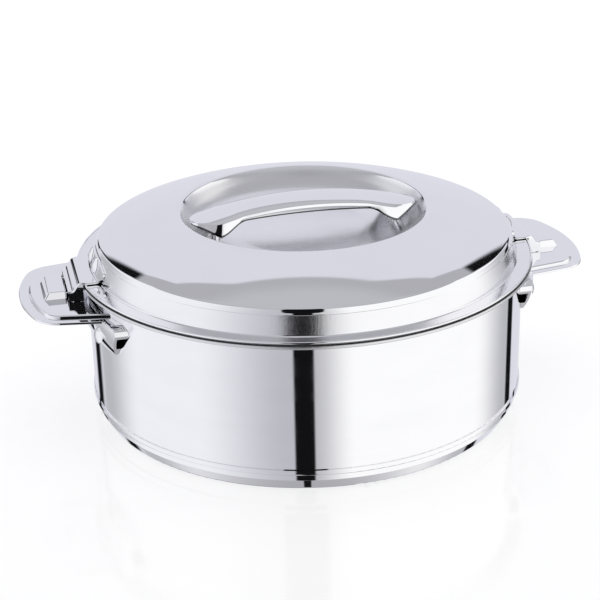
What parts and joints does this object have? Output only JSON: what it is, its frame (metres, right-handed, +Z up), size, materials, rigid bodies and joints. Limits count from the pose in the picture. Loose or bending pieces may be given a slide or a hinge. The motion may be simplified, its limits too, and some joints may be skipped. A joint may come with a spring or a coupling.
{
  "type": "insulated serving casserole",
  "caption": "Round double-walled steel serving casserole with two pressed ears, a foam-filled lid that lifts straight off, an arched grip and clips resting on the ears.",
  "frame": {"origin": "centre of the foot ring, on the plane the casserole stands on", "axes": "+Z up, along the axis of the bowl; +X towards the right ear, -X towards the left ear; +Y across"},
  "size_m": [0.3146, 0.251, 0.1186],
  "materials": {
    "polished_body": "mirror polished stainless steel",
    "polished_bowl": "polished rim, satin inside",
    "polished_base": "polished stainless steel",
    "polished_ear": "mirror polished stainless steel",
    "polished_lid": "mirror polished dome, brushed skirt",
    "polished_grip": "mirror polished stainless steel",
    "polished_clip": "mirror polished stainless steel",
    "rivet_steel": "polished stainless steel",
    "backing_steel": "plain mill finish",
    "satin_liner": "satin stainless steel",
    "insulation_foam": "rigid polyurethane foam",
    "plug_plastic": "matt moulded plastic"
  },
  "bodies": {
    "pot": {"outer_shell": "polished_body", "inner_bowl": "polished_bowl", "body_foam": "insulation_foam", "base_cover": "polished_base", "base_fill_plug": "plug_plastic", "left_ear": "polished_ear", "right_ear": "polished_ear", "left_ear_rivets": "rivet_steel", "right_ear_rivets": "rivet_steel", "left_ear_backing": "backing_steel", "right_ear_backing": "backing_steel"},
    "lid": {"lid_dome": "polished_lid", "lid_liner": "satin_liner", "lid_foam": "insulation_foam", "lid_grip": "polished_grip", "grip_studs": "rivet_steel", "left_lid_clip": "polished_clip", "right_lid_clip": "polished_clip", "left_clip_rivets": "rivet_steel", "right_clip_rivets": "rivet_steel", "left_clip_backing": "backing_steel", "right_clip_backing": "backing_steel"}
  },
  "joints": [
    {"name": "lid_lift", "type": "slide", "parent": "pot", "child": "lid", "axis": [0, 0, 1], "range_m": [0, 0.12]}
  ]
}
